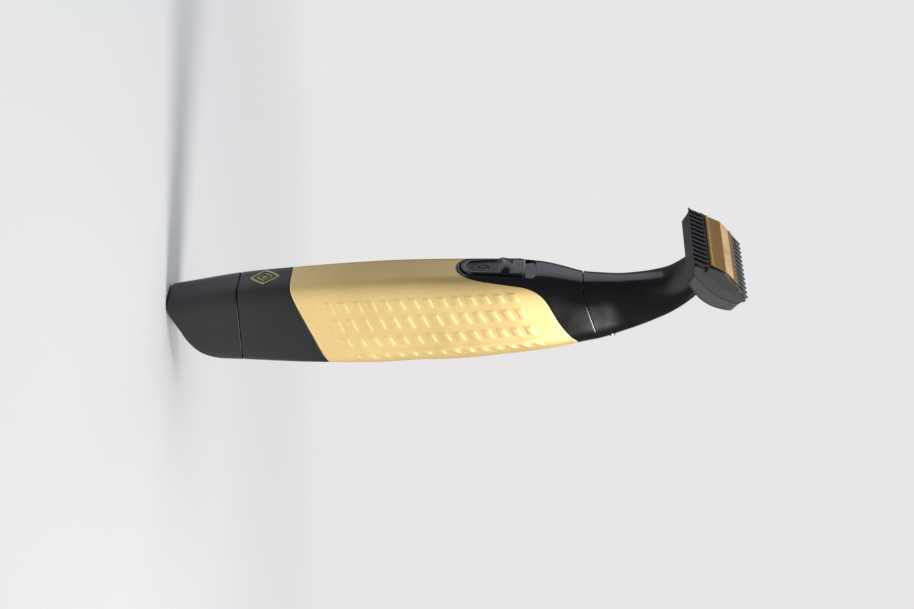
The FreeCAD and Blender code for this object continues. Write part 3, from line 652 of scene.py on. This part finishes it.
def makeLowerHousing(spec):
    angles = evenAngles(spec["columns"], 32.0)
    edge = sleeveLow(angles, -0.12)
    part = np.linspace(0, 1, 60)[:, None]
    lip = spec["lip"]
    bottom = spec["bottom"]
    foot = spec["foot"]
    levels = [(foot, spec["wall"]), (foot, spec["capStep"] + 0.2), (foot + 0.2, spec["capStep"]),
              (bottom, spec["capStep"]), (bottom, lip), (bottom + 0.3 * lip, 0.3 * lip)]
    rows = [np.broadcast_arrays(z, edge)[0] * 1.0 for z, inset in levels]
    insets = [inset for z, inset in levels]
    rows += list(bottom + lip + (edge - bottom - 2 * lip) * part)
    insets += [0.0] * len(part)
    high = edge + spec["sleeveReach"]
    rows += [edge - 0.3 * lip, edge, edge, high, high, edge * 0.5 + 11]
    insets += [0.3 * lip, lip, spec["sleeveStep"], spec["sleeveStep"], spec["wall"], spec["wall"]]
    points = skin(angles, np.array(rows), np.array(insets)[:, None])
    addPiece("lowerHousing", [torusPart(points)], "handle", ["lower_housing"],
             finish["satinCharcoal"])


makeLowerHousing(lower)
print("stage: lower housing")

# Switch: an outline with a round bottom and a slightly wider, flatter top, for the recess and the button.
switch = {"recessLow": 5.0, "recessHigh": 6.1, "recessBottom": 93.9, "recessTop": 118.4, "recessBack": -14.6,
          "low": 4.5, "high": 5.6, "bottom": 94.6, "top": 115.0, "back": -14.9, "proud": 0.55,
          "padLow": 3.3, "padHigh": 4.1, "padBottom": 96.0, "padTop": 107.2, "padDepth": 0.55,
          "dotPitch": 0.8, "dotRise": 0.07, "ridgeLow": 106.6, "ridgeTop": 110.6, "ridgeRise": 1.15,
          "ridgeSag": 2.6, "ridgeHalf": 5.4, "ring": (102.25, 0.72, 1.55), "rows": 190, "columns": 96}


def frontFace(x, z):
    # y of the handle's front over a point (x, z): the superellipse solved for y
    halfWidth, front, back, power = (curveThrough(stations[:, 0], stations[:, column], z)
                                     for column in range(1, 5))
    reach = (1 - np.clip(np.abs(x) / halfWidth, 0, 0.999)**power)**(1 / power)
    return (front + back) / 2 - (back - front) / 2 * reach


def switchHalf(z, low, high, bottom, top, corner=1.8):
    # half width at a height: a round bottom, sides that widen a little, and a top with round corners
    side = low + (high - low) * np.clip((z - bottom) / (top - bottom), 0, 1)
    fromBottom = np.clip((z - bottom) / (low * 0.85), 0, 1)
    fromTop = np.clip((top - z) / corner, 0, 1)
    return side * np.sqrt(1 - (1 - fromBottom)**2) * (1 - 0.42 * (1 - np.sqrt(1 - (1 - fromTop)**2)))


def roundedHeights(bottom, top, count):
    # heights that crowd towards both ends, so the rounds there are drawn finely
    share = np.linspace(0, 1, count)
    eased = share - 0.13 * np.sin(2 * np.pi * share)
    return bottom + (top - bottom) * (0.002 + 0.996 * eased)


# Upper housing: skin from the sleeve's upper edge to the neck seam, with a step in under the sleeve.
upper = {"lip": 0.2, "step": 1.42, "wall": 2.7, "neckStep": 1.9, "sleeveReach": 4.0, "neckReach": 3.0,
         "columns": 300}
# the neck's seam is level in front, then rises to the back
neckSeam = {"low": 133.1, "startY": -9.24, "slope": 0.2863, "round": 1.2}


def seamHeight(y, gap=0.0):
    return neckSeam["low"] + gap + softRamp(y, neckSeam["startY"], neckSeam["slope"], neckSeam["round"])


def makeUpperHousing(spec):
    angles = evenAngles(spec["columns"], 110.0)
    edge = sleeveHigh(angles, 0.12)
    seam = meetSkin(angles, 134, seamHeight)
    lip = spec["lip"]
    step = spec["step"]
    wall = spec["wall"]
    part = np.linspace(0, 1, 80)[:, None]
    foot = edge - spec["sleeveReach"]
    rows = [foot, foot, edge, edge, edge + 0.3 * lip]
    insets = [wall, step, step, lip, 0.3 * lip]
    rows += list(edge + lip + (seam - edge - 2 * lip) * part)
    insets += [0.0] * len(part)
    rows += [seam - 0.3 * lip, seam, seam, seam - spec["neckReach"]]
    insets += [0.3 * lip, lip, spec["neckStep"], wall]
    points = skin(angles, np.array(rows), np.array(insets)[:, None])
    piece = addPiece("upperHousing", [torusPart(points)], "handle", ["upper_housing"],
                     finish["glossBlack"])
    # the switch's recess, with a small round at its rim
    low = switch["recessBottom"]
    high = switch["recessTop"]
    heights = roundedHeights(low, high, 90)
    half = switchHalf(heights, switch["recessLow"], switch["recessHigh"], low, high)
    outline = np.concatenate([np.stack([half, heights], axis=-1), np.stack([-half, heights], axis=-1)[::-1]])
    centre = np.array([0.0, 106.0])
    away = (outline - centre) / np.linalg.norm(outline - centre, axis=1)[:, None]
    surface = frontFace(outline[:, 0], outline[:, 1])
    rings = []
    for y, growth in ((switch["recessBack"], 0.0), (surface + 0.3, 0.0), (surface + 0.08, 0.08),
                      (surface - 0.06, 0.34), (-25.0, 0.4)):
        ring = outline + away * growth
        rings.append(np.stack([ring[:, 0], np.broadcast_to(y, len(ring)), ring[:, 1]], axis=-1))
    carve(piece, [[loftPart(np.array(rings))]])


makeUpperHousing(upper)
print("stage: upper housing")


def buttonRelief(x, z):
    # how far the button's top stands out: a dished pad with dots and a ring, and a crescent ridge above it
    half = switchHalf(z, switch["padLow"], switch["padHigh"], switch["padBottom"], switch["padTop"], 2.6)
    border = np.minimum(half - np.abs(x), np.minimum(z - switch["padBottom"], switch["padTop"] - z))
    pad = softStep(border / 0.9)
    dots = np.cos(2 * np.pi * x / switch["dotPitch"]) * np.cos(2 * np.pi * z / switch["dotPitch"])
    centre, halfRingX, halfRingZ = switch["ring"]
    ringPlace = np.hypot(x / halfRingX, (z - centre) / halfRingZ)
    ring = np.exp(-((ringPlace - 1) / 0.28)**2)
    calm = softStep((ringPlace - 1.1) / 0.5)
    marks = np.exp(-(x**2 + (z - 98.4)**2) / 0.30**2) + 0.6 * np.exp(-(x**2 + (z - 104.5)**2) / 0.2**2)
    relief = -switch["padDepth"] * pad + pad * (switch["dotRise"] * dots * calm + 0.16 * ring + 0.25 * marks)
    foot = switch["ridgeLow"] + switch["ridgeSag"] * (1 - (x / 4.6)**2) * 0.55
    rise = softStep((z - foot) / 0.9)
    fall = softStep((foot + switch["ridgeTop"] - switch["ridgeLow"] - z) / 3.0)
    sideFade = np.clip(1 - (np.abs(x) / switch["ridgeHalf"])**3, 0, 1)
    return relief + switch["ridgeRise"] * rise * fall * sideFade


def makeSwitchButton(spec):
    heights = roundedHeights(spec["bottom"], spec["top"], spec["rows"])[:, None]
    half = switchHalf(heights, spec["low"], spec["high"], spec["bottom"], spec["top"])
    share = np.sin(np.linspace(-1, 1, spec["columns"]) * np.pi / 2)[None, :]
    x = half * share
    z = heights + 0 * share
    border = np.minimum(half - np.abs(x), np.minimum(z - spec["bottom"], spec["top"] - z))
    rim = 0.55 * (1 - np.sqrt(np.clip(1 - (1 - np.clip(border / 0.55, 0, 1))**2, 0, 1)))
    y = frontFace(x, z) - spec["proud"] - buttonRelief(x, z) * softStep(border / 0.5) + rim
    outer = np.stack([x, y, z], axis=-1)
    inner = np.stack([x, np.full_like(x, spec["back"]), z], axis=-1)
    addPiece("switchButton", [slabPart(outer, inner)], "slider", ["switch_button"],
             finish["thumbBlack"])


makeSwitchButton(switch)
print("stage: switch")

# Emblem: two lozenge bands round a boss, following the housing's front.
emblem = {"middle": 31.7, "half": 4.6, "rise": 0.26, "sunk": 0.3, "soft": 0.03, "power": 1.15,
          "stretch": 1.06, "bands": [(1.0, 0.78), (0.56, 0.42)], "boss": 0.85}


def makeEmblem(spec):
    turn = np.linspace(0, 2 * np.pi, 160, endpoint=False)
    power = spec["power"]
    reach = (np.abs(np.cos(turn))**power + np.abs(np.sin(turn))**power)**(-1 / power)
    lozenge = np.stack([np.cos(turn) * reach, np.sin(turn) * reach * spec["stretch"]], axis=-1) * spec["half"]
    soft = spec["soft"]
    parts = []
    for wide, narrow in spec["bands"]:
        profile = [(wide, -spec["sunk"]), (wide, spec["rise"] * 0.6), (wide - soft, spec["rise"]),
                   (narrow + soft, spec["rise"]), (narrow, spec["rise"] * 0.6), (narrow, -spec["sunk"])]
        rings = []
        for scale, proud in profile:
            x = lozenge[:, 0] * scale
            z = spec["middle"] + lozenge[:, 1] * scale
            rings.append(np.stack([x, frontFace(x, z) - proud, z], axis=-1))
        parts.append(torusPart(np.array(rings)))
    boss = []
    crown = ((1.0, -spec["sunk"]), (1.0, spec["rise"] * 0.5), (0.8, spec["rise"]), (0.4, spec["rise"] * 1.25))
    for scale, proud in crown:
        ring = circle(spec["boss"] * scale, 32)
        z = spec["middle"] + ring[:, 1]
        boss.append(np.stack([ring[:, 0], frontFace(ring[:, 0], z) - proud, z], axis=-1))
    parts.append(loftPart(np.array(boss)))
    addPiece("frontEmblem", parts, "handle", ["front_emblem"], finish["emblemGold"])


makeEmblem(emblem)
print("stage: emblem")

# Neck: two shells that lean forwards, joined along a line that runs up both sides.
neck = {"wall": 1.3, "gap": 0.34, "shellGap": 0.14, "rows": 120, "columns": 110, "screwX": 3.6,
        "screwZ": 142.0, "screwRadius": 1.5, "screwHole": (4.0, 12.0),
        "line": [(128, 5.8), (137.1, 4.4), (144.3, 1.9), (151.1, -0.9), (158.3, -3.7), (164.1, -6.5),
                 (176, -12.5)]}


def headFloor(along):
    # the head's curved underside, in its own directions
    return head["floor"] + head["floorRise"] * (np.abs(along) / head["floorHalf"])**2


def neckAngles(height, offset):
    # angle at which the skin passes the line between the two shells: the superellipse solved for its angle
    line = np.array(neck["line"])
    target = curveThrough(line[:, 0], line[:, 1], height) + offset
    front, back, power = (curveThrough(stations[:, 0], stations[:, column], height) for column in (2, 3, 4))
    deep = np.clip((2 * target - front - back) / (back - front), -0.999, 0.999)
    return np.arctan2((1 - np.abs(deep)**power)**(1 / power), -deep)


def neckTop(angle):
    # height at which the skin at each angle runs into the head's underside, by halving
    low = np.full_like(angle, 158.0)
    high = np.full_like(angle, 172.5)
    for _ in range(24):
        middle = (low + high) / 2
        place = skin(angle, middle)
        along = (place[..., 1] - head["y"]) * headCos + (place[..., 2] - head["z"]) * headSin
        out = -(place[..., 1] - head["y"]) * headSin + (place[..., 2] - head["z"]) * headCos
        under = out < headFloor(np.clip(along, -head["floorHalf"], head["floorHalf"])) + 0.4
        low = np.where(under, middle, low)
        high = np.where(under, high, middle)
    return low


def makeNeckShell(name, node, front):
    share = np.linspace(0, 1, neck["columns"])[None, :]
    upward = np.linspace(0, 1, neck["rows"])[:, None]
    angle = np.pi * share * np.ones_like(upward)
    height = 133 + 36 * upward * np.ones_like(share)
    for _ in range(10):
        half = neckAngles(height, 0.0 if front else neck["shellGap"])
        angle = half * (2 * share - 1) if front else half + 2 * (np.pi - half) * share
        bottom = meetSkin(angle, 135, lambda y: seamHeight(y, neck["gap"]))
        height = bottom + (neckTop(angle) - bottom) * upward
    outer = skin(angle, height)
    inner = skin(angle, height, neck["wall"])
    piece = addPiece(name, [slabPart(outer, inner)], "attachment", [node],
                     finish["glossBlack"])
    if not front:
        holes = []
        for x in (-neck["screwX"], neck["screwX"]):
            ring = circle(neck["screwRadius"], 28) + (x, neck["screwZ"])
            rings = [np.stack([ring[:, 0], np.full(len(ring), y), ring[:, 1]], axis=-1)
                     for y in neck["screwHole"]]
            holes.append([loftPart(np.array(rings))])
        carve(piece, holes)
    smoothBevel(piece, 0.16)


makeNeckShell("neckFrontShell", "neck_front_shell", True)
makeNeckShell("neckRearCover", "neck_rear_cover", False)
print("stage: neck")

# Head base: a tray with a curved underside, whose rim sags in the middle of each end.
base = {"halfAlong": 9.0, "wall": 1.5, "rounding": 0.5, "rimEdge": -2.68, "rimSag": 1.7,
        "insideRounding": 0.4, "screwX": 12.5, "screwRadius": 1.6, "screwHole": (-12.0, -7.6),
        "opening": (3.2, 2.8, 0.6), "openingAlong": -0.6, "openingHole": (-12.0, -6.0)}


def partingLine(along):
    # out of the line between comb and base: it sags in the middle
    return base["rimEdge"] - base["rimSag"] * (1 - np.clip(np.abs(along) / base["halfAlong"], 0, 1)**2)


def makeHeadBase(spec):
    outline = roundedOutline(head["halfWidth"], spec["halfAlong"], 0.7, 7)
    fine = []
    for start, end in zip(outline, np.roll(outline, -1, axis=0)):
        count = max(1, int(np.hypot(*(end - start)) / 0.7))
        fine.append(start + (end - start) * np.linspace(0, 1, count, endpoint=False)[:, None])
    rimLine = np.concatenate(fine)

    def rim(inset, out):
        lean = 1 - 0.035 * np.clip((-2.6 - out) / 3.3, 0, 1)
        shrinkX = (head["halfWidth"] - inset) / head["halfWidth"]
        shrinkB = (spec["halfAlong"] - inset) / spec["halfAlong"]
        return rimLine[:, 0] * shrinkX * np.ones_like(lean), rimLine[:, 1] * shrinkB * lean

    def shifted(rows):
        # the rim follows the parting line, and the walls below it are squeezed to fit
        x, along, out = rows[..., 0], rows[..., 1], rows[..., 2]
        drop = partingLine(along) - spec["rimEdge"]
        return headPlace(x, along, out + drop * np.clip((out + 5.8) / 3.12, 0, 1))

    outer = shifted(bowlRows(rim, headFloor, spec["rimEdge"], 0.0, spec["rounding"], 0.0, 14, 22))
    inner = shifted(bowlRows(rim, headFloor, spec["rimEdge"], spec["wall"], spec["insideRounding"],
                             spec["wall"], 10, 14))
    piece = addPiece("headBase", [loftPart(np.concatenate([outer[::-1], inner]))], "attachment",
                     ["head_base"], finish["headGrey"])
    holes = [headTower(circle(spec["screwRadius"], 28) + (x, 0), spec["screwHole"])
             for x in (-spec["screwX"], spec["screwX"])]
    opening = roundedOutline(*spec["opening"]) + (0, spec["openingAlong"])
    holes.append(headTower(opening, spec["openingHole"]))
    carve(piece, holes)
    smoothBevel(piece, 0.12)


makeHeadBase(base)
print("stage: head base")

# Comb: a roofed bar with teeth along both long edges, sloping ends and a window for the blade.
comb = {"pitch": 2.87, "gap": 1.3, "gaps": 14, "grooveStart": 5.7, "grooveDepth": 0.75, "slopeStart": 16.8,
        "slopeLow": -1.0, "windowHalf": 5.35, "windowWidth": 16.7, "windowHole": (-8.0, 5.0),
        "inside": 7.75, "rooms": ((18.8, -9.0, -1.2), (17.2, -2.0, -0.4))}


def combRoof(x, along):
    # the roof's two slopes, and the slope at each end
    ridge = head["ridge"] * (1 - np.abs(along) / head["faceHalf"])
    fall = (head["ridge"] - comb["slopeLow"]) / (head["halfWidth"] - comb["slopeStart"])
    return np.minimum(ridge, head["ridge"] - (np.abs(x) - comb["slopeStart"]) * fall)


def makeComb(spec):
    # rings of the section along the head's width, closer where a groove's wall turns
    middles = (np.arange(spec["gaps"]) - (spec["gaps"] - 1) / 2) * spec["pitch"]
    offsets = np.array([-0.74, -0.62, -0.52, -0.36, -0.18, 0.0, 0.18, 0.36, 0.52, 0.62, 0.74])
    offsets = offsets * spec["gap"] / 1.24
    ends = np.array([spec["slopeStart"], 19.8, 19.98, head["halfWidth"]])
    stops = np.concatenate([-ends, ends, (middles[:, None] + offsets).ravel(), middles[:-1] + 1.2,
                            middles[:-1] + 1.67])
    x = np.unique(np.round(stops, 3))[:, None]
    place = np.min(np.abs(x - middles[None, :]), axis=1)[:, None]
    grooved = softStep((0.68 * spec["gap"] / 1.24 - place) / 0.12 + 0.5)
    deep = np.sqrt(np.clip(1 - (place / (spec["gap"] / 2))**2, 0, 1))
    start = spec["grooveStart"] + (1 - deep) * 0.55
    grooveAlong = [5.75, 6.2, 6.7, 7.4, 8.2, 9.0, 9.7, 10.2, 10.5, head["faceHalf"]]
    along = np.concatenate([np.linspace(0, 5.5, 8), grooveAlong])[None, :]
    ramp = softStep((along - start) / 0.5)
    top = combRoof(x, along)
    out = top - grooved * ramp * spec["grooveDepth"]
    nearEnd = softStep((np.abs(x) - 19.0) / 1.0)
    pull = np.maximum(grooved * 0.55, nearEnd * 1.1) * np.clip((along - 9.3) / 1.35, 0, 1)
    crown = 0.16 * (1 - grooved) * np.clip(np.abs(place - spec["pitch"] / 2) / 0.8, 0, 1)**2
    out = out - crown * ramp
    upper = np.stack(np.broadcast_arrays(x, along - pull, out), axis=-1)
    under = np.array([(9.9, -0.62), (9.43, -1.3), (9.1, -2.1), (9.0, -2.58)])
    ease = np.clip((np.abs(x) - 19.7) / 0.4, 0, 1) * 0.15
    sideOut = np.minimum(under[:, 1][None, :], top[:, -1:])
    sides = np.stack(np.broadcast_arrays(x, under[:, 0][None, :] - ease, sideOut), axis=-1)
    floorAlong = np.array([7.0, 4.5, 2.2, 0.0])[None, :]
    floor = np.stack(np.broadcast_arrays(x, floorAlong, partingLine(floorAlong) + 0.12), axis=-1)
    right = np.concatenate([upper, sides, floor], axis=1)
    left = right[:, 1:-1][:, ::-1] * np.array([1, -1, 1])
    ring = np.concatenate([right, left], axis=1)
    points = headPlace(ring[..., 0], ring[..., 1], ring[..., 2])
    # the comb gets the head's nylon drawn darker, as painted shade
    piece = addPiece("combCover", [loftPart(points)], "comb", ["comb_cover"],
                     finish["combNylonPaintedShade"])
    window = roundedOutline(spec["windowWidth"], spec["windowHalf"], 0.5)
    rooms = [headTower(roundedOutline(halfX, spec["inside"], 0.6), (low, high))
             for halfX, low, high in spec["rooms"]]
    carve(piece, [headTower(window, spec["windowHole"])] + rooms)


makeComb(comb)
print("stage: comb")

# Fixed blade: a low roof of thin coated plate with a bead along each long edge.
blade = {"edge": 5.2, "rise": 0.35, "thick": 0.5, "halfWidth": 16.5, "skirt": -1.8, "bead": 0.4}


def makeFixedBlade(spec):
    edge = spec["edge"]
    edgeTop = head["ridge"] * (1 - edge / head["faceHalf"]) + spec["rise"]
    ridge = head["ridge"] + spec["rise"]
    along = np.linspace(-edge, edge, 121)
    soft = np.sqrt((along / edge)**2 + 0.03**2) - 0.03
    fromEdge = edge - np.abs(along)
    bead = spec["bead"] * np.exp(-((fromEdge - 0.42) / 0.26)**2) * 0.8
    groove = 0.16 * np.exp(-((fromEdge - 1.15) / 0.14)**2)
    plate = ridge + (edgeTop - ridge) * soft
    over = np.stack([along, plate + bead - groove], axis=-1)
    under = np.stack([along * (edge - spec["thick"]) / edge, plate - spec["thick"]], axis=-1)
    skirt = np.linspace(0, 1, 5, endpoint=False)[:, None]
    skirts = []
    for line, reach in ((over, edge), (under, edge - spec["thick"])):
        foot = np.array([reach, spec["skirt"]])
        rise = foot + (line[-1] - foot) * skirt
        skirts.append(np.concatenate([rise * (-1, 1), line, rise[::-1]]))
    x = np.linspace(-spec["halfWidth"], spec["halfWidth"], 34)[:, None]
    outer, inner = (headPlace(x, line[None, :, 0], line[None, :, 1]) for line in skirts)
    piece = addPiece("fixedBlade", [slabPart(outer, inner)], "attachment", ["fixed_blade"],
                     finish["bladeGold"])
    smoothBevel(piece, 0.08)


makeFixedBlade(blade)
print("stage: blade")

# Studio: a pale floor that fades into the air, a warm key behind on the right side, a wide cool fill in
# front on the left, and weaker lights above, on the left side and behind.
studio = {"floorHalf": 0.8, "fade": (0.10, 0.48), "background": "#E8E6E6", "floorColour": "#CBCED3",
          "skyColour": "#F4F5F8", "skyStrength": 0.13, "aim": (0, 0, 0.09),
          "lights": [("keyLight", (0.78, 0.62, 0.68), 0.55, 17.0, "#FFFBF2"),
                     ("fillLight", (-0.90, -0.66, 0.42), 0.90, 1.4, "#E8EEFF"),
                     ("topLight", (0.05, -0.25, 1.2), 0.7, 8.2, "#FFFFFF"),
                     ("sideLight", (-0.95, 0.15, 0.70), 0.60, 1.2, "#FFFFFF"),
                     ("rearLight", (-0.62, 0.85, 0.30), 0.40, 0.6, "#F4F7FF")]}


def makeStudio(spec):
    scene = bpy.context.scene
    scene.view_settings.view_transform = "Standard"
    half = spec["floorHalf"]
    floorMesh = bpy.data.meshes.new("studioFloor")
    floorMesh.from_pydata([(-half, -half, 0), (half, -half, 0), (half, half, 0), (-half, half, 0)], [],
                          [(0, 1, 2, 3)])
    floor = bpy.data.objects.new("studioFloor", floorMesh)
    scene.collection.objects.link(floor)
    paper = bpy.data.materials.new("paperFloor")
    paper.use_nodes = True
    shader = paper.node_tree.nodes["Principled BSDF"]
    shader.inputs["Base Color"].default_value = linear(spec["floorColour"])
    shader.inputs["Roughness"].default_value = 0.75
    # the floor turns clear with its distance from the object, so no horizon shows
    tree = paper.node_tree
    air = addNode(tree, "ShaderNodeBsdfTransparent", {}).outputs[0]
    place = addNode(tree, "ShaderNodeTexCoord", {}).outputs["Object"]
    away = addNode(tree, "ShaderNodeVectorMath", {"operation": "LENGTH"}, [(0, place)]).outputs["Value"]
    near, far = spec["fade"]
    fade = addNode(tree, "ShaderNodeMapRange", {"interpolation_type": "SMOOTHSTEP", "From Min": near,
                                                "From Max": far}, [("Value", away)]).outputs[0]
    blended = addNode(tree, "ShaderNodeMixShader", {},
                      [(0, fade), (1, shader.outputs[0]), (2, air)]).outputs[0]
    tree.links.new(blended, tree.nodes["Material Output"].inputs["Surface"])
    floorMesh.materials.append(paper)
    world = bpy.data.worlds.new("studioAir")
    world.use_nodes = True
    scene.world = world
    tree = world.node_tree
    tree.nodes.clear()
    # the camera sees a pale wall, and the surfaces get a weaker light from it
    seen = addNode(tree, "ShaderNodeBackground",
                   {"Color": linear(spec["background"]), "Strength": 1.0}).outputs[0]
    light = addNode(tree, "ShaderNodeBackground",
                    {"Color": linear(spec["skyColour"]), "Strength": spec["skyStrength"]}).outputs[0]
    direct = addNode(tree, "ShaderNodeLightPath", {}).outputs["Is Camera Ray"]
    mixed = addNode(tree, "ShaderNodeMixShader", {}, [(0, direct), (1, light), (2, seen)]).outputs[0]
    addNode(tree, "ShaderNodeOutputWorld", {}, [("Surface", mixed)])
    aim = Vector(spec["aim"])
    for name, place, size, power, colour in spec["lights"]:
        data = bpy.data.lights.new(name, "AREA")
        data.shape = "DISK"
        data.size = size
        data.energy = power
        data.color = linear(colour)[:3]
        lamp = bpy.data.objects.new(name, data)
        scene.collection.objects.link(lamp)
        lamp.location = place
        lamp.rotation_mode = "QUATERNION"
        lamp.rotation_quaternion = (Vector(place) - aim).to_track_quat("Z", "Y")


makeStudio(studio)
print("stage: studio")
